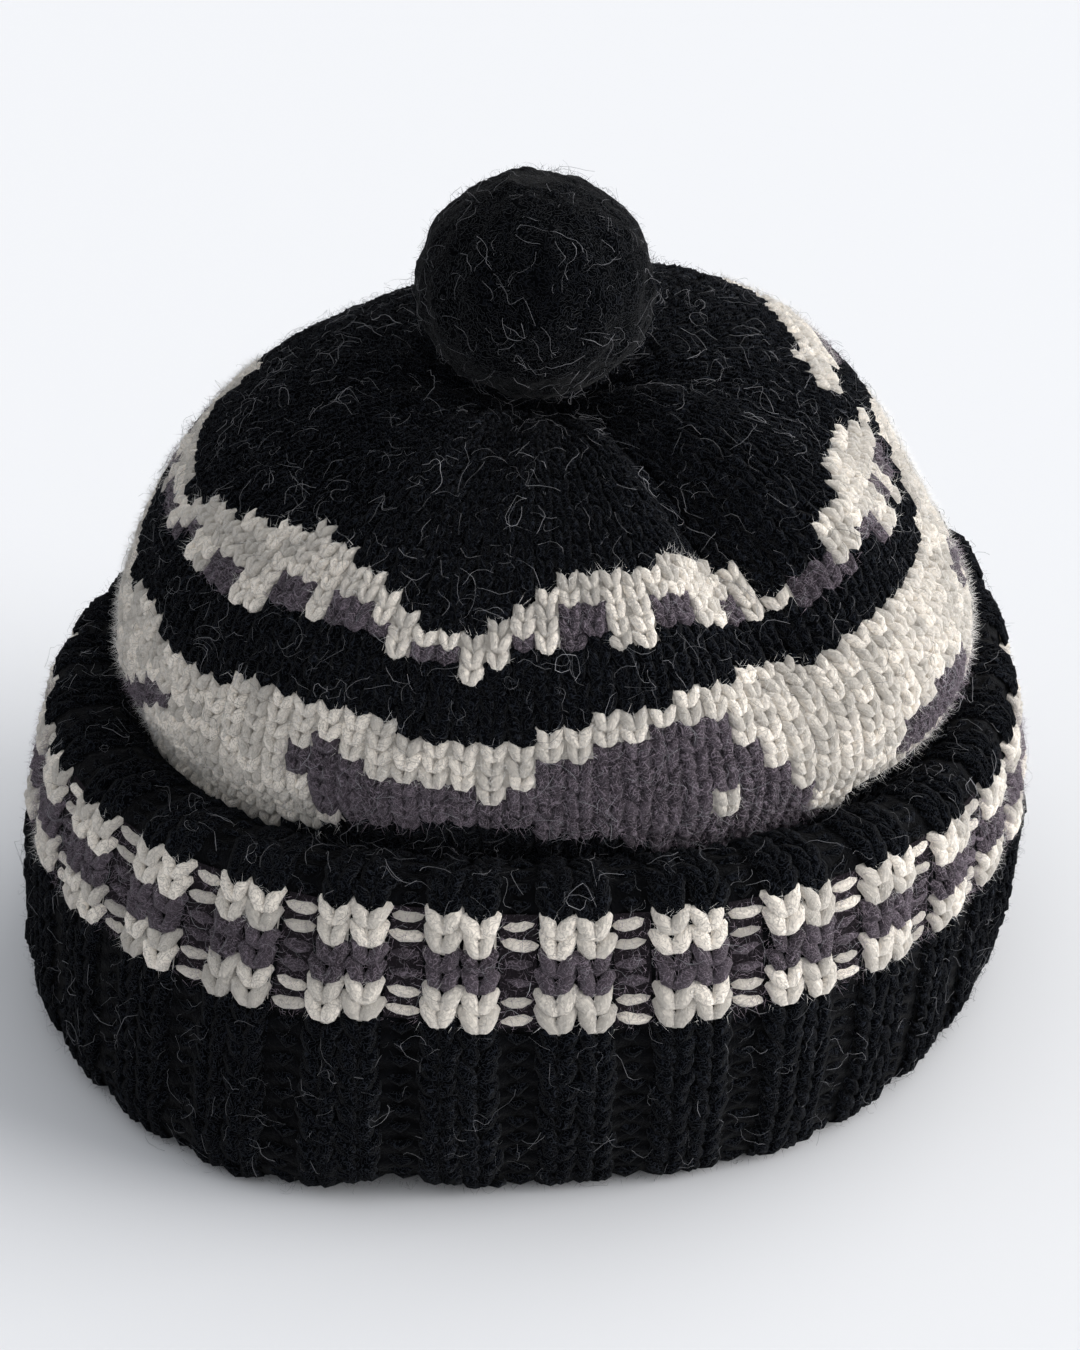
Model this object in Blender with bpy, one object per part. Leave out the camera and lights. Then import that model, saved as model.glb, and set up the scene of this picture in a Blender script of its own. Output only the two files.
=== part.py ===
"""A knit cap: a domed crown, a turned-up ribbed cuff and a stuffed pompom on top.

Metres, +Z up. The cap stands on the fold of its cuff, with the origin at the middle of its footprint,
the front towards -Y and the right side towards +X. An azimuth is measured from +X towards +Y.
"""

import math

import bpy
from mathutils import Vector

MM = 0.001

# Driving dimensions
RIBS = 32  # knit two, purl one, all round the cuff
RIB_STEPS = 4  # facets across one rib: the purl groove, then the raised pair
RIB_RELIEF = 2.0 * MM
CUFF_WALL = 5.2 * MM
CUFF_POCKET = 0.8 * MM  # how far inside the fold the two legs of the cuff part
BELLY_HEIGHT = 27.0 * MM
FIRST_GROOVE = math.radians(-91.7)  # before the ribs are stretched
RIB_STRETCH = 0.10  # share by which the ribs are wider at the front, and narrower at the back
ARCH_AZIMUTH = -105.0  # degrees: where the fold lifts a little off the surface it stands on
ARCH_REACH = 11.0  # degrees
ARCH_LIFT = 3.5 * MM

SEAM_HEIGHT = 44.8 * MM  # where the crown meets the inner leg of the cuff
SEAM_GAP = 0.3 * MM
CROWN_WALL = 4.0 * MM
BULGE_HEIGHT = 70.0 * MM
NECK_HEIGHT = 58.0 * MM
SEAM_RUN = 2.0 * MM  # the crown's last stretch, which stands upright on the inner leg
NECK_DEPTH = 4.8 * MM  # how far the cuff's lip presses the crown in below its bulge
NECK_LIP_HEIGHT = 64.0 * MM  # where the lip stands higher than this it presses less,
NECK_LIP_REACH = 8.0 * MM  # and this much higher it doesn't press at all
DOME_RISE = 60.5 * MM
CROWN_COLUMNS = 64
GATHER = Vector((0.0, -0.014))  # where the wales are drawn together
GATHER_DIMPLE = 10.5 * MM
DIMPLE_REACH = 17.0 * MM
GATHER_FOLDS = 12
GATHER_FOLD_DEPTH = 0.7 * MM
LIP_CLEARANCE = 0.8 * MM  # between the rolled lip and the crown
BULGE_CLEARANCE = 1.0 * MM  # how far outside the bulge the crown would meet a cuff that pressed on nothing

POMPOM_RADIUS = 21.2 * MM
POMPOM_HALF_HEIGHT = 20.2 * MM
POMPOM_LOBES = 16
POMPOM_RINGS = 12
POMPOM_RELIEF = 0.45 * MM
POMPOM_LUMP = 0.7 * MM  # how far it is from round
POMPOM_SEAT_GAP = 0.3 * MM

BLACK_WOOL = (0.012, 0.013, 0.016, 1.0)
WOOL_ROUGHNESS = 0.95

# The cap was stored flat, so it isn't round. Each row gives, at one azimuth, the radius of the fold that it
# stands on, of the cuff's belly, brow and lip, the lip's height, and the radius of the crown's bulge.
GIRTH_COLUMNS = ("azimuth", "foot", "belly", "brow", "lip", "lip_height", "bulge")
GIRTHS = (
    (0, 88.5, 97.0, 94.0, 89.0, 63.5, 83.0),
    (30, 93.0, 99.5, 97.0, 93.0, 73.5, 83.0),
    (60, 93.0, 98.0, 95.0, 90.0, 75.0, 82.0),
    (90, 90.0, 95.0, 92.0, 87.5, 74.0, 80.0),
    (120, 91.0, 96.0, 93.0, 88.0, 71.0, 80.0),
    (150, 95.0, 99.5, 95.0, 90.0, 64.5, 80.5),
    (180, 96.5, 100.5, 95.5, 90.5, 62.5, 80.5),
    (210, 98.0, 101.5, 97.5, 90.5, 61.5, 80.5),
    (240, 99.5, 101.0, 93.0, 86.5, 61.0, 79.5),
    (270, 88.5, 95.0, 90.0, 84.5, 62.0, 78.5),
    (300, 89.0, 97.0, 96.0, 89.5, 63.0, 81.5),
    (330, 86.0, 93.5, 94.5, 89.0, 62.0, 83.0),
)

# Dents and swells of the dome. Azimuth and rise are the middle of each in degrees, rise being 0 at the
# bulge and 90 at the gather. The reaches are half widths in degrees, and push is in millimetres.
DENT_COLUMNS = ("azimuth", "rise", "azimuth_reach", "rise_reach", "push")
DENTS = (
    (-55, 48, 8, 27, -10.5),  # the pleat, from beside the pompom down the front right
    (-74, 36, 11, 22, 1.8),  # the front panel swelling beside the pleat
    (-36, 40, 12, 22, 3.0),  # the right panel swelling on its other side
    (-50, 25, 9, 8, -3.0),  # the dimple at the foot of the pleat
    (-26, 25, 24, 7, -3.0),  # the slump under the right panel
    (-28, 9, 30, 9, 1.5),  # the fullness below the slump
    (8, 24, 24, 14, -2.5),  # the flatter right side
    (45, 50, 34, 22, 5.0),  # the full shoulder at the back right
    (90, 52, 75, 26, 3.2),  # the top standing fuller at the back
    (-118, 30, 20, 20, 1.2),  # the front left standing a little fuller
    (178, 20, 16, 16, -1.5),  # the left side, lightly pressed in
)


def column(table_columns, table, name):
    """One named column of a table."""
    index = table_columns.index(name)
    return [row[index] for row in table]


def girth(name, azimuth):
    """A GIRTHS column at an azimuth in radians, eased round the cap through its rows, in metres."""
    values = column(GIRTH_COLUMNS, GIRTHS, name)
    place = (math.degrees(azimuth) % 360.0) / 360.0 * len(values)
    start = int(place) % len(values)
    t = place - int(place)
    before, here, after, later = (values[(start + k) % len(values)] for k in (-1, 0, 1, 2))
    eased = here + 0.5 * t * (
        after - before
        + t * (2 * before - 5 * here + 4 * after - later + t * (3 * (here - after) + later - before))
    )
    return eased * MM


def smooth(t):
    """Eases from 0 to 1 as t does."""
    t = min(1.0, max(0.0, t))
    return t * t * (3.0 - 2.0 * t)


def mix(a, b, t):
    """The value that lies the share t of the way from a to b."""
    return a + (b - a) * t


def wrapped_degrees(angle):
    """An angle in degrees, between -180 and 180."""
    return (angle + 180.0) % 360.0 - 180.0


def swell(azimuth, rise):
    """How far the dome stands out from its plain shape at an azimuth and a rise, both in degrees."""
    total = 0.0
    for row in DENTS:
        dent = dict(zip(DENT_COLUMNS, row))
        across = wrapped_degrees(azimuth - dent["azimuth"]) / dent["azimuth_reach"]
        along = (rise - dent["rise"]) / dent["rise_reach"]
        total += dent["push"] * math.exp(-across * across - along * along)
    return total * MM


def seam_radius(azimuth):
    """The outer radius where the crown meets the inner leg, between the bulge above and the cuff outside."""
    inside_cuff = girth("brow", azimuth) - 2.0 * CUFF_WALL
    return mix(girth("bulge", azimuth) + BULGE_CLEARANCE, inside_cuff, 0.5)


def tucked_radius(azimuth, height):
    """The crown's outer radius at a height below its bulge: in at the neck, then out again to the seam."""
    bulge = girth("bulge", azimuth)
    lift = girth("lip_height", azimuth) - NECK_LIP_HEIGHT
    neck = bulge - NECK_DEPTH * (1.0 - smooth(lift / NECK_LIP_REACH))
    if height > NECK_HEIGHT:
        return mix(bulge, neck, smooth((BULGE_HEIGHT - height) / (BULGE_HEIGHT - NECK_HEIGHT)))
    below = (NECK_HEIGHT - height) / (NECK_HEIGHT - SEAM_HEIGHT - SEAM_RUN)
    return mix(neck, seam_radius(azimuth), smooth(below))


def arch_lift(azimuth):
    """How far the fold lifts off the surface at an azimuth in radians: only over one short arch."""
    away = abs(wrapped_degrees(math.degrees(azimuth) - ARCH_AZIMUTH))
    return ARCH_LIFT * smooth(1.0 - away / ARCH_REACH)


def rib_azimuth(turn):
    """The azimuth that a turn of evenly spaced ribs comes to: they are stretched at the front."""
    from_front = turn + 0.5 * math.pi
    return turn + RIB_STRETCH * math.sin(from_front)


def cuff_section(azimuth, relief):
    """The cuff's section at one azimuth, as (radius, height).

    It runs up the outer leg, over the lip, which rolls in to the crown, round the pocket and the inner leg.
    """
    foot, belly, brow, lip, top = (
        girth(name, azimuth) for name in ("foot", "belly", "brow", "lip", "lip_height")
    )
    seam = seam_radius(azimuth)
    arch = arch_lift(azimuth)
    pocket = foot - CUFF_POCKET
    inner_foot = foot - 6.6 * MM
    rolled_in = tucked_radius(azimuth, top - 3.0 * MM) + LIP_CLEARANCE
    rolled_under = tucked_radius(azimuth, top - 7.5 * MM) + 1.5 * LIP_CLEARANCE
    return (
        (foot - 1.0 * MM, arch),
        (foot + 2.8 * MM + 0.3 * relief, 1.6 * MM + 0.8 * arch),
        (foot + 4.8 * MM + 0.7 * relief, 7.0 * MM),
        (mix(foot, belly, 0.55) + 2.2 * MM + relief, 15.0 * MM),
        (belly + relief, BELLY_HEIGHT),
        (mix(belly, brow, 0.5) + 0.6 * MM + relief, top - 22.0 * MM),
        (brow + relief, top - 9.0 * MM),
        (mix(brow, lip, 0.5) + 1.0 * MM + 0.8 * relief, top - 3.0 * MM),
        (lip, top + 0.5 * relief),
        (mix(lip, rolled_in, 0.55), top - 0.4 * MM),
        (rolled_in, top - 3.0 * MM),
        (max(rolled_in, rolled_under), top - 7.5 * MM),
        (brow - CUFF_WALL - 1.2 * MM, top - 15.0 * MM),
        (belly - CUFF_WALL, BELLY_HEIGHT),
        (pocket + 1.0 * MM, 10.0 * MM),
        (pocket, 6.5 * MM),
        (pocket - 1.0 * MM, 10.0 * MM),
        (mix(pocket - 1.0 * MM, seam, 0.5), BELLY_HEIGHT),
        (seam, SEAM_HEIGHT - SEAM_GAP),
        (seam - CROWN_WALL, SEAM_HEIGHT - SEAM_GAP),
        (mix(inner_foot, seam - CROWN_WALL, 0.5), BELLY_HEIGHT),
        (inner_foot, 9.0 * MM),
        (foot - 6.4 * MM, 2.4 * MM + 0.5 * arch),
        (foot - 5.0 * MM, arch),
    )


def at_azimuth(azimuth, radius, height):
    """The point at a radius and height on one azimuth."""
    return Vector((radius * math.cos(azimuth), radius * math.sin(azimuth), height))


def bulge_plan(azimuth):
    """The crown's widest outline, seen from above."""
    radius = girth("bulge", azimuth)
    return Vector((radius * math.cos(azimuth), radius * math.sin(azimuth)))


def dome_height(place):
    """The height of the plain dome over a place in plan."""
    edge = girth("bulge", math.atan2(place.y, place.x))
    share = min(1.0, place.length / edge)
    return BULGE_HEIGHT + DOME_RISE * math.sqrt(1.0 - share * share)


def crown_plain_point(azimuth, rise):
    """A point of the dome without its dents. Rise is in degrees, 0 at the bulge and 90 at the gather."""
    inwards = math.cos(math.radians(rise))
    place = mix(GATHER, bulge_plan(azimuth), inwards)
    height = dome_height(place)
    from_gather = (place - GATHER).length / DIMPLE_REACH
    dimple = GATHER_DIMPLE * math.exp(-from_gather * from_gather)
    fold = GATHER_FOLD_DEPTH * math.cos(GATHER_FOLDS * azimuth)
    folded = fold * from_gather * math.exp(1.0 - from_gather)
    return Vector((place.x, place.y, height - dimple + folded))


def crown_point(azimuth, rise):
    """A point of the dome, pushed along its normal by the dents and swells."""
    turn = math.radians(1.0)
    along = crown_plain_point(azimuth, rise + 1.0) - crown_plain_point(azimuth, max(0.0, rise - 1.0))
    across = crown_plain_point(azimuth + turn, rise) - crown_plain_point(azimuth - turn, rise)
    normal = across.cross(along).normalized()
    return crown_plain_point(azimuth, rise) + normal * swell(math.degrees(azimuth), rise)


def crown_tuck_point(azimuth, drop):
    """A point below the bulge, where the crown goes down inside the cuff."""
    height = BULGE_HEIGHT - drop
    sway = swell(math.degrees(azimuth), 0.0) * (1.0 - smooth(drop / (10.0 * MM)))
    return at_azimuth(azimuth, tucked_radius(azimuth, height) + sway, height)


def ring_mesh(name, rings, closed_ends=(), loop=False):
    """A mesh from rings of points, capped at the closed ends, or with its last ring joined to its first."""
    count = len(rings[0])
    points = [point for ring in rings for point in ring]
    faces = []
    pairs = len(rings) if loop else len(rings) - 1
    for i in range(pairs):
        low = i * count
        high = ((i + 1) % len(rings)) * count
        for j in range(count):
            k = (j + 1) % count
            faces.append((low + j, low + k, high + k, high + j))
    if "first" in closed_ends:
        faces.append(tuple(reversed(range(count))))
    if "last" in closed_ends:
        start = (len(rings) - 1) * count
        faces.append(tuple(start + j for j in range(count)))
    mesh = bpy.data.meshes.new(name)
    mesh.from_pydata(points, [], faces)
    mesh.update()
    return mesh


def wool(name):
    """Black wool, matt."""
    material = bpy.data.materials.new(name)
    material.use_nodes = True
    shader = material.node_tree.nodes["Principled BSDF"]
    shader.inputs["Base Color"].default_value = BLACK_WOOL
    shader.inputs["Roughness"].default_value = WOOL_ROUGHNESS
    shader.inputs["Metallic"].default_value = 0.0
    return material


def add_object(name, mesh):
    """Puts a mesh in the scene as a smooth-shaded wool object."""
    mesh.materials.append(wool(name + "_wool"))
    mesh.shade_smooth()
    added = bpy.data.objects.new(name, mesh)
    bpy.context.scene.collection.objects.link(added)
    return added


def make_cuff():
    """The ribbed cuff: one band that runs down inside and turns up outside, with an open pocket between."""
    columns = RIBS * RIB_STEPS
    sections = []
    for j in range(columns):
        azimuth = rib_azimuth(FIRST_GROOVE + 2.0 * math.pi * j / columns)
        step = j % RIB_STEPS
        relief = 0.0 if step == 0 else RIB_RELIEF * (1.0 if step * 2 == RIB_STEPS else 0.85)
        section = cuff_section(azimuth, relief - RIB_RELIEF)
        sections.append([at_azimuth(azimuth, radius, height) for radius, height in section])
    rings = [[section[i] for section in sections] for i in range(len(sections[0]))]
    return add_object("cuff", ring_mesh("cuff", rings, loop=True))


def make_crown():
    """The crown: a hollow shell, tucked in below its bulge, domed and gathered above it."""
    drops = (25.2, 23.2, 19.5, 16.0, 12.0, 8.0, 4.0)
    rises = (0, 8, 16, 24, 32, 40, 48, 56, 64, 72, 79, 85)
    azimuths = [2.0 * math.pi * j / CROWN_COLUMNS for j in range(CROWN_COLUMNS)]
    rings = [[crown_tuck_point(azimuth, drop * MM) for azimuth in azimuths] for drop in drops]
    rings += [[crown_point(azimuth, rise) for azimuth in azimuths] for rise in rises]
    crown = add_object("crown", ring_mesh("crown", rings, closed_ends=("last",)))
    wall = crown.modifiers.new("Wall", "SOLIDIFY")
    wall.thickness = CROWN_WALL
    wall.offset = -1.0
    wall.use_even_offset = True
    wall.use_rim = True
    return crown


def make_pompom():
    """The pompom: a stuffed ball whose surface stands up in low lobes, seated in the gather's dimple."""
    columns = 2 * POMPOM_LOBES
    rings = []
    for i in range(1, POMPOM_RINGS):
        polar = math.pi * i / POMPOM_RINGS
        height = -POMPOM_HALF_HEIGHT * math.cos(polar)
        ring = []
        for j in range(columns):
            azimuth = 2.0 * math.pi * j / columns
            relief = POMPOM_RELIEF if j % 2 else -POMPOM_RELIEF
            lump = POMPOM_LUMP * math.sin(2.0 * azimuth + 1.5 * polar)
            radius = (POMPOM_RADIUS + (relief + lump) * math.sin(polar)) * math.sin(polar)
            ring.append(at_azimuth(azimuth, radius, height))
        rings.append(ring)
    pompom = add_object("pompom", ring_mesh("pompom", rings, closed_ends=("first", "last")))
    pompom.location = (GATHER.x, GATHER.y, 0.0)
    return pompom


def seat_pompom(pompom, crown):
    """Lowers the pompom until it all but touches the crown under it."""
    bpy.context.view_layer.update()
    graph = bpy.context.evaluated_depsgraph_get()
    fabric = crown.evaluated_get(graph)
    lift = -1.0
    for vertex in pompom.data.vertices:
        place = vertex.co + pompom.location
        hit, spot, _, _ = fabric.ray_cast(Vector((place.x, place.y, 1.0)), Vector((0.0, 0.0, -1.0)))
        if hit:
            lift = max(lift, spot.z - place.z)
    pompom.location.z = lift + POMPOM_SEAT_GAP


def centre_on_footprint(objects):
    """Moves the whole cap so that the middle of its box is over the origin and it stands at height 0."""
    bpy.context.view_layer.update()
    graph = bpy.context.evaluated_depsgraph_get()
    corners = []
    for piece in objects:
        shown = piece.evaluated_get(graph)
        corners += [shown.matrix_world @ vertex.co for vertex in shown.data.vertices]
    low = Vector(min(corner[axis] for corner in corners) for axis in range(3))
    high = Vector(max(corner[axis] for corner in corners) for axis in range(3))
    shift = Vector((-(low.x + high.x) / 2, -(low.y + high.y) / 2, -low.z))
    for piece in objects:
        piece.location += shift


def main():
    """Builds the cap in an empty scene."""
    for old in list(bpy.data.objects):
        bpy.data.objects.remove(old)
    cuff = make_cuff()
    crown = make_crown()
    pompom = make_pompom()
    seat_pompom(pompom, crown)
    centre_on_footprint([cuff, crown, pompom])


main()
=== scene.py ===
"""The looks of a knit cap, stitch by stitch, laid out as a Blender add-on.

The crown is knitted flat-faced, with a zigzag and a wave of cream and grey. The cuff is knit two, purl one,
with a cream and grey stripe. Each visible stitch is two legs of yarn, placed along the wales of the frame.
"""

import math

import bmesh
import bpy
import numpy as np
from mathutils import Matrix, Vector
from mathutils.bvhtree import BVHTree


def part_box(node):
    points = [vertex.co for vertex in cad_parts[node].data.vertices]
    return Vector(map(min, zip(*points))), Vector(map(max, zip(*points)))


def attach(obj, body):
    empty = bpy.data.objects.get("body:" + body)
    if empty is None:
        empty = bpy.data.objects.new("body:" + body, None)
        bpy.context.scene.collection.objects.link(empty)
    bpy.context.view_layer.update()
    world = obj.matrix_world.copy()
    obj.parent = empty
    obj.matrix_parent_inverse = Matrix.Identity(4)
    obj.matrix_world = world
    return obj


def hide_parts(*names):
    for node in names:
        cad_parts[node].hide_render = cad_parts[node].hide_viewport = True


bl_info = {
    "name": "Knit Cap",
    "version": (1, 0, 0),
    "blender": (4, 5, 0),
    "location": "View3D > Sidebar > Knit Cap",
    "description": "Knits the crown, cuff and pompom of a wool cap over its fixed frame",
    "category": "Object",
}

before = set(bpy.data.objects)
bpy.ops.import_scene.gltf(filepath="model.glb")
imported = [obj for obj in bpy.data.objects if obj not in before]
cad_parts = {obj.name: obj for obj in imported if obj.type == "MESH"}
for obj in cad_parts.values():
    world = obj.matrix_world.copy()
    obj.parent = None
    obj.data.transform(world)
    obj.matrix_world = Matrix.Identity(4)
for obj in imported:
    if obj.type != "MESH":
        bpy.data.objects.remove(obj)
BODY = "root"
MM = 0.001
TAU = 2.0 * math.pi
UP = Vector((0.0, 0.0, 1.0))
VECTOR_MATHS = "ShaderNodeVectorMath"

# Where the wales and ribs run
POMPOM_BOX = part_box("pompom")
GATHER = ((POMPOM_BOX[0] + POMPOM_BOX[1]) / 2).xy  # in plan, where the wales meet under the pompom
CAP_AXIS = GATHER + Vector((0.0, 14.0 * MM))  # in plan, what the wales and ribs are spaced round
NECK_HEIGHT = 52.0 * MM  # of the crown's first row, which the cuff hides
BULGE_HEIGHT = 70.0 * MM  # where the crown is widest
NECK_STEPS = 12
DOME_STEPS = 90
FIRST_PURL = math.radians(-91.7)  # the azimuth of one purl wale, before the ribs are stretched
RIB_STRETCH = 0.10  # share by which the ribs are wider at the front, and narrower at the back
LIP_NEAREST = 70.0 * MM  # from the axis, where the search for the lip's top starts
LIP_STEP = 0.75 * MM
LIP_STEPS = 40
ABOVE_LIP = 0.12  # a height over the cap's cuff, and how far down from it the search reaches
LIP_SEARCH = 0.08
FOLD_CENTRE_HEIGHT = 8.0 * MM
LIP_CENTRE_DROP = 7.0 * MM
ROLL_DEPTH = 7.0 * MM  # how far inside the cuff's face the centres of its fold and lip lie
ROLL_REACH = 14.0 * MM
FOLD_TURN = -100.0  # degrees under the level that the cuff's first row lies
FOLD_STEPS = 14
LEG_STEPS = 40
LIP_TURN = 165.0  # degrees over the level that the cuff's last row lies
ROLL_STEPS = 24
CAP_REACH = 0.13  # from the axis, clear of the whole cap
FLOOR_CLEARANCE = 0.2 * MM

# How the stitches lie
SIZE_SPREAD = 0.05  # the share by which a stitch's size differs from its neighbours'
LEAN_SPREAD = 0.09
PLACE_SPREAD = 0.12 * MM
STITCH_DEPTH = {"black": 2.7 * MM, "cream": 4.6 * MM, "grey": 4.6 * MM}  # black is felted flattest
STITCH_INSET = 0.25  # of its depth, how far a stitch is sunk in the frame's surface
PURL_SINK = {"black": 0.2 * MM, "cream": 0.25 * MM, "grey": 0.3 * MM}  # how much deeper purl bumps lie
GROUND_INSET = 0.85 * MM
PURL_GROUND_INSET = 1.0 * MM
GROUND_NARROWING = (1.0, 1.0, 0.86)  # of the wale, the row and the width, where pale ground meets a purl wale
SHEET_WELD = 0.3 * MM  # corners of the ground that lie nearer than this are one
FELTING = 0.9 * MM
LEG_DETAIL = {"black": (4, 4), "cream": (5, 6), "grey": (4, 5)}  # rings and sides of a yarn's legs
PURL_DETAIL = {"black": (3, 4), "cream": (8, 6), "grey": (5, 5)}
LEG_THICKNESS = 0.235
BLACK_CROWN_THICKNESS = 0.25
PURL_THICKNESS = 0.34
CROWN_SEED = 5
CUFF_SEED = 6

# A leg's curve, in widths, heights and depths of a stitch, and its share of full thickness along its length
KNIT_LEG = {
    "Start": (-0.04, -0.50, -0.28),
    "Start Handle": (-0.13, 0.02, 0.34),
    "End Handle": (-0.30, 0.86, 0.36),
    "End": (-0.45, 1.42, -0.50),
}
PURL_LOOP = {
    "Start": (-0.35, 0.64, -0.06),
    "Start Handle": (-0.20, 0.34, 0.22),
    "End Handle": (0.20, 0.34, 0.22),
    "End": (0.35, 0.64, -0.06),
}
LEG_SWELL = ((0.0, 0.40), (0.18, 0.88), (0.5, 1.0), (0.82, 0.84), (1.0, 0.30))
BUMP_SWELL = ((0.0, 0.35), (0.1, 0.75), (0.25, 0.95), (0.5, 1.0), (0.75, 0.95), (0.9, 0.75), (1.0, 0.35))

# The chart of the crown. Wales are counted round from the right side, wale 72 being the front, and rows up
# from the neck. Between its rows each table runs straight, and after its last row it goes back to its first.
# The upper band: how far down its teeth reach, the top of the grey between them, and its top edge.
WING_COLUMNS = ("wale", "base", "grey_high", "top")
WING = (
    (44, 15.5, 17, 19.5), (46, 16, 17.6, 20.5), (48, 16.5, 18, 20.3), (51.5, 16.6, 17.8, 18.8),
    (53, 17.2, 18.6, 20.3), (54.6, 17.2, 18.8, 21.2), (57, 16.8, 19.4, 22), (59, 16.5, 19.6, 23),
    (61, 17.2, 19.6, 23.7), (63, 17.8, 20, 22.7), (65, 17.4, 19.6, 21.9), (66, 17, 19, 20.8),
    (68, 16.6, 17.6, 18.4), (69.6, 16.4, 17.6, 19.5), (71, 17, 18.8, 20.8), (73, 17.8, 20.4, 22.7),
    (75, 18.2, 21.4, 23.5), (77, 18.6, 21.2, 23.2), (79, 18.8, 20.8, 24), (82, 18.8, 21, 24.4),
    (83, 19, 19.6, 21.2), (83.8, 19, 19.2, 19.8), (84.4, 20, 20, 20), (85.4, 19.6, 19.6, 20.2),
    (86.5, 19.4, 19.8, 21.7), (88, 18.6, 19.6, 22.1), (90, 17.6, 20.4, 23.5), (92, 18, 21.2, 24.3),
    (94, 18.6, 21.4, 24.3), (96, 20, 21, 23.2), (97.4, 20.2, 20.2, 21), (98, 23.6, 23.6, 24.4),
    (100, 22.6, 22.8, 25.6), (103, 20.6, 22, 25.2), (110, 18.5, 20.5, 23.8), (116, 16, 17, 18.5),
    (124, 18.5, 20.6, 24), (132, 16, 17, 18.5), (138, 18, 20, 23),
)
WING_TEETH = (47, 51, 54, 55, 58, 59, 62, 66, 69, 70, 72, 75, 76, 79, 80, 82, 86, 87, 90, 91, 93)
WING_TEETH += (97, 101, 105, 109, 113, 117, 121, 125, 129, 133, 137)
TOOTH_GAP = 0.5  # rows that the grey between two teeth stops short of their tips

# The lower band: its foot, the grey inside it from low to high, and its top edge.
BAND_COLUMNS = ("wale", "foot", "grey_low", "grey_high", "top")
BAND = (
    (50, 2, 2, 4, 12.3), (52, 2, 3.2, 5.6, 12.5), (54, 2, 5, 7.6, 12.8), (56, 2, 7.2, 9.2, 12.2),
    (56.9, 2, 9.4, 9.4, 12.4), (59, 2.2, 9, 9, 11.7), (61, 2, 9, 9, 13.2), (63.3, 3, 9, 9, 12.9),
    (64, 3.6, 5, 11, 13.5), (65.5, 5, 5, 10.2, 13.5), (67, 5.3, 5.3, 9, 12.4), (69, 5.8, 5.8, 9.2, 11.8),
    (71, 5.6, 5.6, 9.8, 12.3), (73, 5.4, 5.4, 11, 13), (74.6, 4.8, 4.8, 11.8, 13.8),
    (76, 3.8, 3.8, 12.3, 14), (77.5, 2.6, 2.6, 13, 14.6), (79, 2, 2, 12.6, 15.2), (80.5, 2, 2, 9.2, 15.8),
    (82, 2.6, 2.6, 5.2, 15.7), (83, 3, 3, 3, 15.5), (85.4, 4, 4, 4, 15), (86.4, 4, 4.6, 7.5, 15),
    (89, 3, 4.6, 9.4, 14.6), (91, 3, 4.6, 9, 14.6), (92.4, 3, 6, 6, 14.8), (93.2, 3, 9.5, 9.5, 14.9),
    (94, 3, 9.6, 11.8, 15.5), (96, 3, 9.8, 12.6, 19), (97.5, 3, 10, 10, 20.5), (100, 2, 8, 8, 19.5),
    (104, 2, 8, 8, 16.5), (108, 2.5, 2.5, 11, 13), (114, 2.5, 2.5, 12, 14), (120, 2, 2, 3, 15.5),
    (128, 2, 8, 8, 12.5), (134, 3, 3, 11, 14.5), (140, 2, 2, 5, 15),
)
CHART_START = 44  # the lowest wale that the tables and the stitches below are counted from
CREAM_SPECKS = ((70, 8), (70, 9), (71, 9), (78, 6), (78, 7))  # (wale, row) of stray cream stitches
GREY_SPECKS = ((84, 18), (84, 19), (85, 18), (85, 19), (86, 18))
STRIPE_ROWS = {12: "cream", 13: "cream", 14: "grey", 15: "grey", 16: "cream", 17: "cream"}  # of the cuff
DECREASES = ((0.64, 1.0), (0.74, 5 / 6), (0.81, 2 / 3), (0.87, 1 / 2), (0.94, 1 / 3), (1.0, 1 / 6))
RIB_WALES = 3  # one purl, then two knit

# The pompom
POMPOM_WALES = 26
POMPOM_ROWS = 18
POMPOM_STEPS = 40
POMPOM_FELTING = 3.2 * MM
POLE_SHARE = 0.04  # of the way over the pompom that is left out at each pole
POMPOM_REACH = 0.04

# The loose hairs. Lengths are half lengths, and thickness is a share of them.
DOWN = {"Thickness": 0.018, "Spread": 1.8, "Tangle": 1.0 * MM}
DOWN_LENGTHS = {"black": (0.6 * MM, 1.8 * MM), "cream": (0.9 * MM, 2.3 * MM), "grey": (0.8 * MM, 2.4 * MM)}
WISP = {"Shortest": 0.8 * MM, "Longest": 3.2 * MM, "Thickness": 0.008, "Spread": 0.45, "Tangle": 5.0 * MM}
CURL = {"Shortest": 1.0 * MM, "Longest": 4.0 * MM, "Thickness": 0.0075, "Spread": 0.4, "Tangle": 6.0 * MM}
WISP_POINTS = 7
CURL_POINTS = 12
DOWN_SHARE = {"black": 0.8, "cream": 4.0, "grey": 3.4}
BLACK_DOWN = {"crown": 1.0, "cuff": 1.3, "pompom": 2.0}
WISP_SHARE = {"black": 1.2, "cream": 0.6, "grey": 2.2}
WISPS_ON = {"crown": 1.25, "cuff": 0.7, "pompom": 1.25}
CURLS_ON = {"crown": 1.0, "cuff": 0.5, "pompom": 0.3}
STRAY_DENSITY = 500.0  # rust coloured hairs on a square metre
HAIR_ROOT = 0.5 * MM  # how far outside the frame's surface the hairs start, half way up the stitches
FIRST_HAIR_SEED = 21

# The fabric behind the stitches
FABRIC_INSET = 1.2 * MM
FABRIC_ROW = 3.5 * MM
FABRIC_SLOPES = {"crown": 0.7, "cuff": 0.0}  # how much the rows also follow the distance from the axis

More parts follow.
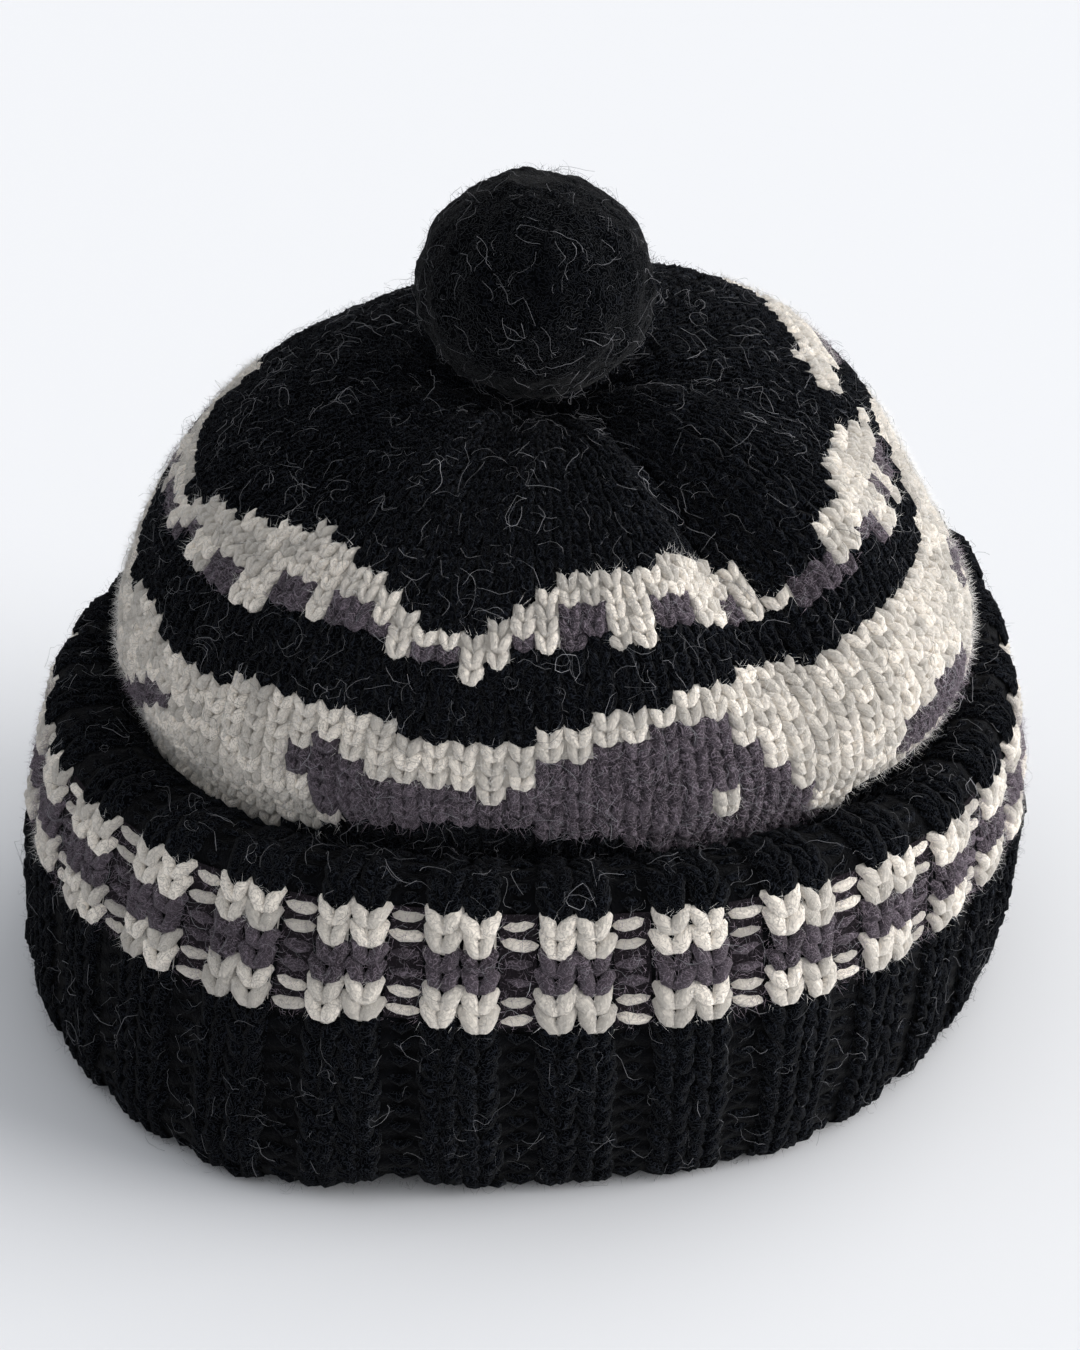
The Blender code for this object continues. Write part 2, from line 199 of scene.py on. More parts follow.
# The stage
FLOOR_HALF = 5.0
WINDOWS = {  # towards each window, its spread in degrees, its power and its colour
    "window": ((0.8, 0.6, 0.8), 60.0, 1.2, (1.0, 0.99, 0.97)),
    "side_window": ((1.0, -0.12, 0.15), 50.0, 5.7, (1.0, 0.99, 0.98)),
}
SKY = (0.93, 0.96, 1.0)
SKY_STRENGTH = 0.66
WHITE = {"Base Color": (0.775, 0.778, 0.795, 1.0), "Roughness": 0.7, "Specular IOR Level": 0.2}
SENSOR = 36.0
VIEW_TARGET = Vector((CAP_AXIS.x + 0.8 * MM, CAP_AXIS.y - 17.9 * MM, 66.0 * MM))  # the photograph's middle


class KnitSettings(bpy.types.PropertyGroup):
    """The gauge of the knitting."""

    wales: bpy.props.IntProperty(name="Wales", description="Stitches round the cap", default=96)
    crown_rows: bpy.props.IntProperty(
        name="Crown rows", description="Rows from the neck to the gather", default=42
    )
    cuff_rows: bpy.props.IntProperty(
        name="Cuff rows", description="Rows from the fold to the rolled edge of the lip", default=24
    )
    unevenness: bpy.props.FloatProperty(
        name="Unevenness", description="How much the stitches differ", default=1.0, subtype="FACTOR"
    )


class WoolSettings(bpy.types.PropertyGroup):
    """The colours of the yarns."""

    black: bpy.props.FloatVectorProperty(
        name="Black", description="The black yarn", subtype="COLOR", default=(0.0027, 0.0031, 0.0041)
    )
    cream: bpy.props.FloatVectorProperty(
        name="Cream", description="The cream yarn", subtype="COLOR", default=(0.93, 0.87, 0.79)
    )
    grey: bpy.props.FloatVectorProperty(
        name="Grey", description="The mauve grey yarn", subtype="COLOR", default=(0.088, 0.073, 0.086)
    )
    rust_hair: bpy.props.FloatVectorProperty(
        name="Rust hair", description="A few stray hairs", subtype="COLOR", default=(0.42, 0.16, 0.07)
    )
    pale_hair: bpy.props.FloatVectorProperty(
        name="Pale hair", description="The loose pale hairs", subtype="COLOR", default=(0.36, 0.36, 0.385)
    )


class FuzzSettings(bpy.types.PropertyGroup):
    """How many loose hairs stand on the wool."""

    curls: bpy.props.FloatProperty(
        name="Curls", description="Long curled hairs on a square metre", default=7000.0
    )
    wisps: bpy.props.FloatProperty(
        name="Wisps", description="Thin bent hairs on a square metre", default=44000.0
    )
    down: bpy.props.FloatProperty(
        name="Down", description="Short hairs on a square metre", default=420000.0
    )


class StageSettings(bpy.types.PropertyGroup):
    """The photograph's view."""

    elevation: bpy.props.FloatProperty(
        name="Elevation", description="Of the camera", subtype="ANGLE", default=math.radians(27.0)
    )
    distance: bpy.props.FloatProperty(
        name="Distance", description="From the camera to the cap", unit="LENGTH", default=0.600
    )
    lens: bpy.props.FloatProperty(name="Lens", description="Focal length in mm", default=106.0)


# Wales and rows


def node_tree_of(node_name):
    """A search tree of one frame node's surface."""
    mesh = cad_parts[node_name].data
    points = [vertex.co.copy() for vertex in mesh.vertices]
    return BVHTree.FromPolygons(points, [tuple(face.vertices) for face in mesh.polygons])


def outer_hit(tree, centre, direction, reach=CAP_REACH):
    """Where the outside of a surface lies from a centre inside it, in one direction."""
    return tree.ray_cast(centre + direction * reach, -direction, reach)[0]


def bearing(azimuth):
    """The level direction at an azimuth."""
    return Vector((math.cos(azimuth), math.sin(azimuth), 0.0))


def tilted(out, turn):
    """The direction that is a turn above the level one."""
    return out * math.cos(turn) + UP * math.sin(turn)


def crown_wale(tree, azimuth):
    """One wale's path over the crown, from its neck up to the gather."""
    out = bearing(azimuth)
    path = []
    for i in range(NECK_STEPS):
        height = NECK_HEIGHT + (BULGE_HEIGHT - NECK_HEIGHT) * i / NECK_STEPS
        path.append(outer_hit(tree, Vector((CAP_AXIS.x, CAP_AXIS.y, height)), out))
    for i in range(DOME_STEPS):
        rise = 0.5 * math.pi * i / DOME_STEPS
        foot = CAP_AXIS.lerp(GATHER, math.sin(rise))
        path.append(outer_hit(tree, Vector((foot.x, foot.y, BULGE_HEIGHT)), tilted(out, rise)))
    return [tuple(spot) for spot in path if spot is not None]


def cuff_wale(tree, azimuth):
    """One wale's path up the cuff's outer leg, from under its fold, over the lip and in to the crown."""
    out = bearing(azimuth)
    axis = Vector((CAP_AXIS.x, CAP_AXIS.y, 0.0))

    def radius_at(height):
        return (outer_hit(tree, axis + UP * height, out) - axis).dot(out)

    lip = 0.0
    for i in range(LIP_STEPS):
        over = axis + out * (LIP_NEAREST + i * LIP_STEP) + UP * ABOVE_LIP
        spot = tree.ray_cast(over, -UP, LIP_SEARCH)[0]
        if spot is not None:
            lip = max(lip, spot.z)
    low = FOLD_CENTRE_HEIGHT
    high = lip - LIP_CENTRE_DROP
    fold_centre = axis + out * (radius_at(low) - ROLL_DEPTH) + UP * low
    lip_centre = axis + out * (radius_at(high) - ROLL_DEPTH) + UP * high
    path = []
    for i in range(FOLD_STEPS):
        turn = math.radians(FOLD_TURN - FOLD_TURN * i / FOLD_STEPS)
        path.append(outer_hit(tree, fold_centre, tilted(out, turn), ROLL_REACH))
    for i in range(LEG_STEPS):
        height = low + (high - low) * i / LEG_STEPS
        path.append(outer_hit(tree, axis + UP * height, out))
    for i in range(ROLL_STEPS):
        turn = math.radians(LIP_TURN * i / (ROLL_STEPS - 1))
        path.append(outer_hit(tree, lip_centre, tilted(out, turn), ROLL_REACH))
    return [tuple(spot) for spot in path if spot is not None]


def pompom_wale(tree, azimuth):
    """One wale's path up the pompom."""
    low, high = POMPOM_BOX
    out = bearing(azimuth)
    path = []
    for i in range(POMPOM_STEPS):
        polar = math.pi * (POLE_SHARE + (1.0 - 2.0 * POLE_SHARE) * i / (POMPOM_STEPS - 1))
        aim = out * math.sin(polar) - UP * math.cos(polar)
        path.append(tuple(outer_hit(tree, (low + high) / 2, aim, POMPOM_REACH)))
    return path


def resample(path, count):
    """Points at equal steps along a path."""
    path = np.asarray(path)
    steps = np.linalg.norm(np.diff(path, axis=0), axis=1)
    along = np.concatenate([[0.0], np.cumsum(steps)])
    wanted = np.linspace(0.0, 1.0, count) * along[-1]
    return np.stack([np.interp(wanted, along, path[:, axis]) for axis in range(3)], axis=1)


def wale_grid(wale_path, node_name, azimuths, rows):
    """The points where the wales of a node cross its rows, as an array indexed by wale, row and axis."""
    tree = node_tree_of(node_name)
    return np.stack([resample(wale_path(tree, azimuth), rows + 1) for azimuth in azimuths])


def crown_grid(settings):
    """The crown's wales and rows."""
    azimuths = [TAU * wale / settings.wales for wale in range(settings.wales)]
    return wale_grid(crown_wale, "crown", azimuths, settings.crown_rows)


def cuff_grid(settings):
    """The cuff's wales and rows. Wale 0 is a purl one."""
    turns = [FIRST_PURL + TAU * wale / settings.wales for wale in range(settings.wales)]
    azimuths = [turn + RIB_STRETCH * math.sin(turn + 0.5 * math.pi) for turn in turns]
    return wale_grid(cuff_wale, "cuff", azimuths, settings.cuff_rows)


def pompom_grid():
    """The pompom's wales and rows."""
    azimuths = [TAU * wale / POMPOM_WALES for wale in range(POMPOM_WALES)]
    return wale_grid(pompom_wale, "pompom", azimuths, POMPOM_ROWS)


def on_grid(grid, wale, row):
    """Points of a wale and row grid at whole or part wales and rows. Arrays give arrays."""
    wale = np.asarray(wale, dtype=float) % len(grid)
    row = np.asarray(row, dtype=float)
    left = np.floor(wale).astype(int)
    low = np.clip(np.floor(row).astype(int), 0, grid.shape[1] - 2)
    right = (left + 1) % len(grid)
    across = (wale - left)[..., None]
    up = (row - low)[..., None]
    below = grid[left, low] * (1.0 - across) + grid[right, low] * across
    above = grid[left, low + 1] * (1.0 - across) + grid[right, low + 1] * across
    return below * (1.0 - up) + above * up


def unit(vectors):
    """The vectors of an array, each made one long."""
    return vectors / np.maximum(np.linalg.norm(vectors, axis=-1, keepdims=True), 1e-9)


def stitch_points(name, grid, cells, depth, inset, unevenness, seed):
    """A mesh of loose points, one for each stitch, that know which way the fabric faces and runs there."""
    wales, rows, widths = cells.T
    chance = np.random.default_rng(seed)
    low = on_grid(grid, wales, rows)
    along = on_grid(grid, wales, rows + 1.0) - low
    middle = rows + 0.5
    across = on_grid(grid, wales + widths / 2, middle) - on_grid(grid, wales - widths / 2, middle)
    outward = unit(np.cross(across, along))
    count = len(low)
    spans = [np.linalg.norm(across, axis=-1), np.linalg.norm(along, axis=-1), np.full(count, depth)]
    size = np.stack(spans, axis=1)
    size *= 1.0 + unevenness * chance.normal(0.0, SIZE_SPREAD, (count, 3))
    wobble = chance.normal(0.0, LEAN_SPREAD * unevenness, (count, 1))
    lean = unit(unit(along) + wobble * unit(across))
    places = low - outward * inset + chance.normal(0.0, PLACE_SPREAD * unevenness, (count, 3))
    mesh = bpy.data.meshes.new(name)
    mesh.from_pydata([tuple(place) for place in places], [], [])
    for label, values in (("outward", outward), ("along", lean), ("size", size)):
        layer = mesh.attributes.new(label, "FLOAT_VECTOR", "POINT")
        layer.data.foreach_set("vector", values.ravel())
    tone = mesh.attributes.new("tone", "FLOAT", "POINT")
    tone.data.foreach_set("value", chance.uniform(0.0, 1.0, count))
    return mesh


def cell_sheet(name, grid, cells, inset):
    """A sheet of one quad for each stitch, that far inside the grid."""
    wales, rows, widths = cells.T
    corners = []
    for side, up in ((-0.5, 0.0), (0.5, 0.0), (0.5, 1.0), (-0.5, 1.0)):
        corners.append(on_grid(grid, wales + side * widths, rows + up))
    corners = np.stack(corners, axis=1)
    outward = unit(np.cross(corners[:, 1] - corners[:, 0], corners[:, 3] - corners[:, 0]))
    corners = corners - outward[:, None, :] * inset
    mesh = bpy.data.meshes.new(name)
    points = [tuple(point) for point in corners.reshape(-1, 3)]
    mesh.from_pydata(points, [], [tuple(range(4 * i, 4 * i + 4)) for i in range(len(corners))])
    return mesh


# Which yarn each stitch is


def edge(columns, table, name, wale, wales):
    """One column of a chart table at a wale."""
    places = [row[0] for row in table]
    values = [row[columns.index(name)] for row in table]
    first = places[0]
    place = first + (wale - first) % wales
    return float(np.interp(place, places + [first + wales], values + [values[0]]))


def crown_colour(wale, row, wales):
    """The yarn of one stitch of the crown."""
    middle = wale + 0.5
    cell = CHART_START + (wale - CHART_START) % wales
    level = row + 0.5
    if (cell, row) in CREAM_SPECKS:
        return "cream"
    if (cell, row) in GREY_SPECKS:
        return "grey"
    base, high, top = (edge(WING_COLUMNS, WING, name, middle, wales) for name in WING_COLUMNS[1:])
    if base <= level < top:
        if level >= high or cell in WING_TEETH:
            return "cream"
        return "grey" if level >= base + TOOTH_GAP else "black"
    foot, low, high, top = (edge(BAND_COLUMNS, BAND, name, middle, wales) for name in BAND_COLUMNS[1:])
    if foot <= level < top:
        return "grey" if low <= level < high else "cream"
    return "black"


def crown_wales_at(row, settings):
    """How many wales the crown has at a row: they are knitted together towards the gather."""
    share = row / settings.crown_rows
    return round(settings.wales * next(part for limit, part in DECREASES if share < limit))


def crown_stitches(settings):
    """The crown's stitches by yarn: arrays of wale, row and width in wales."""
    found = {"black": [], "cream": [], "grey": []}
    for row in range(settings.crown_rows):
        count = crown_wales_at(row, settings)
        width = settings.wales / count
        for i in range(count):
            colour = crown_colour(i, row, settings.wales) if count == settings.wales else "black"
            found[colour].append(((i + 0.5) * width, row, width))
    return {colour: np.array(cells, dtype=float) for colour, cells in found.items()}


def cuff_stitches(settings):
    """The cuff's stitches by kind and yarn: arrays of wale, row and width in wales."""
    found = {}
    for row in range(settings.cuff_rows):
        colour = STRIPE_ROWS.get(row, "black")
        for wale in range(settings.wales):
            kind = "knit" if wale % RIB_WALES else "purl"
            found.setdefault((kind, colour), []).append((wale, row, 1.0))
    return {key: np.array(cells, dtype=float) for key, cells in found.items()}


def pompom_stitches():
    """Where the pompom's hairs stand, as cells of wale, row and width, with fewer wales near its poles."""
    found = []
    for row in range(POMPOM_ROWS):
        way_up = POLE_SHARE + (1.0 - 2.0 * POLE_SHARE) * (row + 0.5) / POMPOM_ROWS
        count = max(6, round(POMPOM_WALES * math.sin(math.pi * way_up)))
        width = POMPOM_WALES / count
        for i in range(count):
            found.append(((i + 0.5) * width, row, width))
    return np.array(found, dtype=float)


# Node trees


def feed(tree, socket, value):
    """Links a socket to the one that feeds it, or gives it a plain value."""
    if isinstance(value, bpy.types.NodeSocket):
        tree.links.new(value, socket)
    else:
        socket.default_value = value


def socket_of(sockets, name):
    """The socket of that name which is in use."""
    return next(socket for socket in sockets if socket.name == name and socket.enabled)


def add_node(tree, kind, inputs=None, **settings):
    """Adds a node with its settings, and links or fills its inputs by name."""
    made = tree.nodes.new(kind)
    for name, value in settings.items():
        setattr(made, name, value)
    for name, value in (inputs or {}).items():
        feed(tree, socket_of(made.inputs, name), value)
    return made


def output(made, name=None):
    """A node's output, by name or the first in use."""
    if name is None:
        return next(socket for socket in made.outputs if socket.enabled)
    return socket_of(made.outputs, name)


def result(tree, kind, inputs=None, **settings):
    """The first output of a new node."""
    return output(add_node(tree, kind, inputs, **settings))


def worked_out(tree, operation, *values, kind="ShaderNodeMath"):
    """The result of a maths node, with its inputs in order."""
    made = add_node(tree, kind, operation=operation)
    for socket, value in zip(made.inputs, values):
        feed(tree, socket, value)
    return output(made)


def scaled(tree, vector, factor):
    """A vector times a number."""
    made = add_node(tree, VECTOR_MATHS, {"Scale": factor}, operation="SCALE")
    feed(tree, made.inputs[0], vector)
    return output(made)


def new_geometry_tree(name, inputs):
    """An empty Geometry Nodes tree with named inputs, each with the kind of its socket."""
    tree = bpy.data.node_groups.new(name, "GeometryNodeTree")
    tree.interface.new_socket("Geometry", in_out="INPUT", socket_type="NodeSocketGeometry")
    tree.interface.new_socket("Geometry", in_out="OUTPUT", socket_type="NodeSocketGeometry")
    for label, kind in inputs.items():
        tree.interface.new_socket(label, in_out="INPUT", socket_type="NodeSocket" + kind)
    return tree, tree.nodes.new("NodeGroupInput")


def end_tree(tree, geometry, material):
    """Ends a tree: its instances made real, shaded smooth and given their material."""
    real = result(tree, "GeometryNodeRealizeInstances", {"Geometry": geometry})
    smooth = result(tree, "GeometryNodeSetShadeSmooth", {"Geometry": real, "Shade Smooth": True})
    woolly = result(tree, "GeometryNodeSetMaterial", {"Geometry": smooth, "Material": material})
    add_node(tree, "NodeGroupOutput", {"Geometry": woolly})


def named_vector(tree, name):
    """A field that reads a vector attribute of the points."""
    made = add_node(tree, "GeometryNodeInputNamedAttribute", {"Name": name}, data_type="FLOAT_VECTOR")
    return output(made, "Attribute")


def store(tree, geometry, name, value, data_type):
    """The geometry with a field kept on it as an attribute."""
    inputs = {"Geometry": geometry, "Name": name, "Value": value}
    return result(tree, "GeometryNodeStoreNamedAttribute", inputs, data_type=data_type)


def moved(tree, geometry, offset):
    """The geometry moved point by point."""
    return result(tree, "GeometryNodeSetPosition", {"Geometry": geometry, "Offset": offset})


def placed(tree, points, instance, turn, size, **inputs):
    """An instance on each point, made real."""
    inputs.update({"Points": points, "Instance": instance, "Rotation": turn, "Scale": size})
    made = add_node(tree, "GeometryNodeInstanceOnPoints")
    for name, value in inputs.items():
        feed(tree, socket_of(made.inputs, name.replace("_", " ")), value)
    return result(tree, "GeometryNodeRealizeInstances", {"Geometry": output(made)})


def axes_turn(tree, first, second, primary, secondary):
    """The rotation that turns the named axes to two directions."""
    inputs = {"Primary Axis": first, "Secondary Axis": second}
    axes = {"primary_axis": primary, "secondary_axis": secondary}
    return result(tree, "FunctionNodeAxesToRotation", inputs, **axes)


def bezier(tree, ends):
    """A curve between two ends, bent by its handles."""
    return add_node(tree, "GeometryNodeCurvePrimitiveBezierSegment", ends, mode="POSITION")


def yarn_leg(tree, given, side, swell):
    """One leg of a stitch: a plump strand on a curve, thin where it dives under its neighbours."""
    ends = {}
    mirror = (side, 1.0, 1.0)
    for label in KNIT_LEG:
        ends[label] = worked_out(tree, "MULTIPLY", output(given, label), mirror, kind=VECTOR_MATHS)
    curve = bezier(tree, ends)
    curve.inputs["Resolution"].default_value = 12
    counted = {"Curve": output(curve), "Count": output(given, "Rings")}
    even = result(tree, "GeometryNodeResampleCurve", counted)
    place = output(add_node(tree, "GeometryNodeSplineParameter"), "Factor")
    shape = add_node(tree, "ShaderNodeFloatCurve", {"Value": place})
    profile = shape.mapping.curves[0]
    profile.points[0].location = swell[0]
    profile.points[1].location = swell[-1]
    for spot in swell[1:-1]:
        profile.points.new(*spot)
    shape.mapping.update()
    circle = {"Resolution": output(given, "Sides"), "Radius": 1.0}
    ring = result(tree, "GeometryNodeCurvePrimitiveCircle", circle)
    around = result(tree, "GeometryNodeInputPosition")
    tube = {
        "Curve": store(tree, even, "run", place, "FLOAT"),
        "Profile Curve": store(tree, ring, "ply", around, "FLOAT_VECTOR"),
        "Scale": worked_out(tree, "MULTIPLY", output(shape), output(given, "Thickness")),
        "Fill Caps": True,
    }
    return result(tree, "GeometryNodeCurveToMesh", tube)


def lumpy(tree, geometry, amount, scale, seed):
    """Pushes a mesh in and out along its normals by noise, as felted wool is."""
    noise = add_node(tree, "ShaderNodeTexNoise", {"Scale": scale, "W": seed}, noise_dimensions="4D")
    centred = worked_out(tree, "SUBTRACT", output(noise), 0.5)
    push = worked_out(tree, "MULTIPLY", centred, amount)
    normal = result(tree, "GeometryNodeInputNormal")
    return moved(tree, geometry, scaled(tree, normal, push))


def stitch_tree(name, both_legs):
    """A tree that sets a stitch on each point, facing and running as the point's attributes say."""
    inputs = dict.fromkeys(KNIT_LEG, "Vector")
    inputs.update({"Thickness": "Float", "Rings": "Int", "Sides": "Int", "Felting": "Float"})
    tree, given = new_geometry_tree(name, dict(inputs, Wool="Material"))
    stitch = add_node(tree, "GeometryNodeJoinGeometry")
    for side in (1.0, -1.0) if both_legs else (1.0,):
        leg = yarn_leg(tree, given, side, LEG_SWELL if both_legs else BUMP_SWELL)
        tree.links.new(leg, stitch.inputs["Geometry"])
    turn = axes_turn(tree, named_vector(tree, "outward"), named_vector(tree, "along"), "Z", "Y")
    size = named_vector(tree, "size")
    real = placed(tree, output(given, "Geometry"), output(stitch), turn, size)
    soft = lumpy(tree, real, output(given, "Felting"), 420.0, 3.0)
    end_tree(tree, soft, output(given, "Wool"))
    return tree


def felt_tree():
    """A tree that rounds a mesh and raises the soft clumps of felted wool on it."""
    tree, given = new_geometry_tree("Felt", {"Detail": "Int", "Felting": "Float", "Wool": "Material"})
    inputs = {"Mesh": output(given, "Geometry"), "Level": output(given, "Detail")}
    fine = add_node(tree, "GeometryNodeSubdivisionSurface", inputs)
    clumps = output(given, "Felting")
    soft = lumpy(tree, output(fine), clumps, 170.0, 2.0)
    soft = lumpy(tree, soft, worked_out(tree, "MULTIPLY", clumps, 0.4), 600.0, 5.0)
    end_tree(tree, soft, output(given, "Wool"))
    return tree


def curl_curves(tree):
    """Four loose curls, about one unit across."""
    curves = []
    for turns, start, end, height in ((1.0, 0.3, 0.7, 0.3), (0.6, 1.0, 0.5, 0.2), (0.4, 1.6, 1.0, 0.3)):
        inputs = {"Rotations": turns, "Start Radius": start, "End Radius": end, "Height": height}
        inputs.update({"Resolution": 16, "Reverse": turns < 1.0})
        curves.append(result(tree, "GeometryNodeCurveSpiral", inputs))
    wave = {
        "Start": (-1.0, 0.0, 0.0),
        "Start Handle": (-0.2, 1.3, 0.2),
        "End Handle": (0.1, -1.4, 0.5),
        "End": (1.1, 0.3, 0.3),
    }
    curves.append(output(bezier(tree, wave)))
    return curves


def wisp_curves(tree):
    """Three bent hairs, about two units long, that lie along the surface."""
    curves = []
    for bow, dip, lift in ((0.9, 0.4, 0.14), (-0.5, 0.8, 0.24), (0.3, -0.9, 0.10)):
        ends = {
            "Start": (-1.0, 0.0, -0.05),
            "Start Handle": (-0.4, bow, lift),
            "End Handle": (0.3, -dip, 1.3 * lift),
            "End": (1.0, 0.3 * bow, 0.5 * lift),
        }
        curves.append(output(bezier(tree, ends)))
    return curves


def any_direction(tree, seed):
    """A random vector for each point, within one unit each way."""
    inputs = {"Min": (-1.0, -1.0, -1.0), "Max": (1.0, 1.0, 1.0), "Seed": seed}
    return result(tree, "FunctionNodeRandomValue", inputs, data_type="FLOAT_VECTOR")


def fibre_tree(name, curves_of=None, points_along=0):
    """A tree that scatters fine hairs over a surface, each a thin three-sided tube or else a spike."""
    labels = ("Density", "Shortest", "Longest", "Thickness", "Spread", "Tangle")
    inputs = dict(dict.fromkeys(labels, "Float"), Seed="Int", Wool="Material")
    tree, given = new_geometry_tree(name, inputs)
    thickness = output(given, "Thickness")
    ring = add_node(tree, "GeometryNodeCurvePrimitiveCircle", {"Resolution": 3, "Radius": thickness})
    kinds = add_node(tree, "GeometryNodeGeometryToInstance")
    if curves_of is None:
        cone = {"Vertices": 3, "Radius Top": 0.0, "Radius Bottom": thickness, "Depth": 1.0}
        spike = add_node(tree, "GeometryNodeMeshCone", cone)
        tree.links.new(output(spike), kinds.inputs["Geometry"])
    for curve in curves_of(tree) if curves_of else ():
        even = add_node(tree, "GeometryNodeResampleCurve", {"Curve": curve, "Count": points_along})
        tube = {"Curve": output(even), "Profile Curve": output(ring), "Fill Caps": True}
        hair = add_node(tree, "GeometryNodeCurveToMesh", tube)
        tree.links.new(output(hair), kinds.inputs["Geometry"])
    seed = output(given, "Seed")
    surface = {"Mesh": output(given, "Geometry"), "Density": output(given, "Density"), "Seed": seed}
    roots = add_node(tree, "GeometryNodeDistributePointsOnFaces", surface, distribute_method="RANDOM")
    swing = scaled(tree, any_direction(tree, seed), output(given, "Spread"))
    aim = worked_out(tree, "ADD", output(roots, "Normal"), swing, kind=VECTOR_MATHS)
    turn = axes_turn(tree, aim, any_direction(tree, 7), "Z", "X")
    lengths = {"Min": output(given, "Shortest"), "Max": output(given, "Longest"), "Seed": 11}
    reach = result(tree, "FunctionNodeRandomValue", lengths, data_type="FLOAT")
    real = placed(tree, output(roots, "Points"), output(kinds), turn, reach, Pick_Instance=True)
    noise = add_node(tree, "ShaderNodeTexNoise", {"Scale": 190.0, "Detail": 1.0})
    middle = (0.5, 0.5, 0.5)
    centred = worked_out(tree, "SUBTRACT", output(noise, "Color"), middle, kind=VECTOR_MATHS)
    bent = moved(tree, real, scaled(tree, centred, output(given, "Tangle")))
    end_tree(tree, bent, output(given, "Wool"))
    return tree


# Pieces


def piece(name, mesh):
    """A new object of the model that rides with the cap."""
    made = bpy.data.objects.new(name, mesh)
    bpy.context.scene.collection.objects.link(made)
    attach(made, BODY)
    return made


def grow(name, base_mesh, tree, values):
    """Runs a tree on a mesh and returns the result as a plain object, standing on the floor."""
    base = bpy.data.objects.new(name + "_base", base_mesh)
    bpy.context.scene.collection.objects.link(base)
    modifier = base.modifiers.new("Knit", "NODES")
    modifier.node_group = tree
    for item in tree.interface.items_tree:
        if item.in_out == "INPUT" and item.name in values:
            modifier[item.identifier] = values[item.name]
    base.update_tag()
    graph = bpy.context.evaluated_depsgraph_get()
    mesh = bpy.data.meshes.new_from_object(base.evaluated_get(graph))
    bpy.data.objects.remove(base)
    mesh.name = name
    places = np.empty(len(mesh.vertices) * 3)
    mesh.vertices.foreach_get("co", places)
    places[2::3] = np.maximum(places[2::3], FLOOR_CLEARANCE)
    mesh.vertices.foreach_set("co", places)
    mesh.update()
    return piece(name, mesh)


def grown_stitches(name, tree, points, colour, wool, shape, thickness):
    """One piece of stitches in one yarn."""
    rings, sides = (PURL_DETAIL if shape is PURL_LOOP else LEG_DETAIL)[colour]
    values = {"Thickness": thickness, "Rings": rings, "Sides": sides, "Felting": FELTING, "Wool": wool}
    made = grow(name, points, tree, dict(shape, **values))


def lay_ground(name, grid, cells, wool, inset=GROUND_INSET):
    """The felted ground that shows between the stitches of one yarn, or a dark sheet of painted shade behind
    pale purl bumps.
    """
    mesh = cell_sheet(name, grid, cells, inset)
    editable = bmesh.new()
    editable.from_mesh(mesh)
    bmesh.ops.remove_doubles(editable, verts=editable.verts, dist=SHEET_WELD)
    editable.to_mesh(mesh)
    editable.free()
    mesh.materials.append(wool)
    mesh.update()
    made = piece(name, mesh)


def merged_copy(node_name, name):
    """A CAD node's mesh as a new mesh with its loose triangles joined up, and open for editing."""
    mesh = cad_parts[node_name].data.copy()
    mesh.name = name
    mesh.materials.clear()
    editable = bmesh.new()
    editable.from_mesh(mesh)
    bmesh.ops.remove_doubles(editable, verts=editable.verts, dist=0.001 * MM)
    bmesh.ops.recalc_face_normals(editable, faces=editable.faces)
    return mesh, editable


def fabric_behind(node_name, slope, wool):
    """The fabric under a node's stitches, thinner than the node, with a UV map that counts stitches."""
    low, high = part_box(node_name)
    centre = ((low + high) / 2).xy
    name = node_name + "_fabric"
    mesh, editable = merged_copy(node_name, name)
    editable.normal_update()
    shifts = [vertex.normal * FABRIC_INSET for vertex in editable.verts]
    for vertex, shift in zip(editable.verts, shifts):
        vertex.co -= shift
        vertex.co.z = max(vertex.co.z, FLOOR_CLEARANCE)
    layer = editable.loops.layers.uv.new("stitches")
    for face in editable.faces:
        middle = face.calc_center_median().xy - centre
        base = math.atan2(middle.y, middle.x)
        for loop in face.loops:
            spot = loop.vert.co.xy - centre
            turn = (math.atan2(spot.y, spot.x) - base + math.pi) % TAU - math.pi
            row = (loop.vert.co.z - spot.length * slope) / FABRIC_ROW
            loop[layer].uv = ((base + turn) / TAU, row)
    editable.to_mesh(mesh)
    editable.free()
    mesh.materials.append(wool)
    mesh.shade_smooth()
    made = piece(name, mesh)
    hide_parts(node_name)


def scatter(name, mesh, tree, wool, seed, values):
    """One piece of loose hairs on a sheet."""
    made = grow(name, mesh, tree, dict(values, Seed=seed, Wool=wool))


# Wool


def shade(colour, factor):
    """A colour made that many times lighter."""
    return tuple(min(1.0, factor * part) for part in colour)


def new_material(name, finish):
    """A new material, its tree and its shader, with the finish set on the shader."""
    material = bpy.data.materials.new(name)
    material.use_nodes = True
    shader = material.node_tree.nodes["Principled BSDF"]
    for label, value in finish.items():
        shader.inputs[label].default_value = value
    return material, material.node_tree, shader


def mix_colours(tree, share, first, second):
    """A mix of two colours by a share, the first a colour or a socket."""
    made = add_node(tree, "ShaderNodeMix", data_type="RGBA")
    feed(tree, made.inputs[6], (*first, 1.0) if isinstance(first, tuple) else first)
    made.inputs[7].default_value = (*second, 1.0)
    tree.links.new(share, made.inputs[0])
    return made.outputs[2]


def noise_of(tree, where, scale, detail, roughness):
    """A noise at a place."""
    inputs = {"Vector": where, "Scale": scale, "Detail": detail, "Roughness": roughness}
    return result(tree, "ShaderNodeTexNoise", inputs)


def spread_out(tree, value, low, high):
    """A number from 0 to 1 for how far a value is from low to high."""
    inputs = {"Value": value, "From Min": low, "From Max": high}
    return result(tree, "ShaderNodeMapRange", inputs)


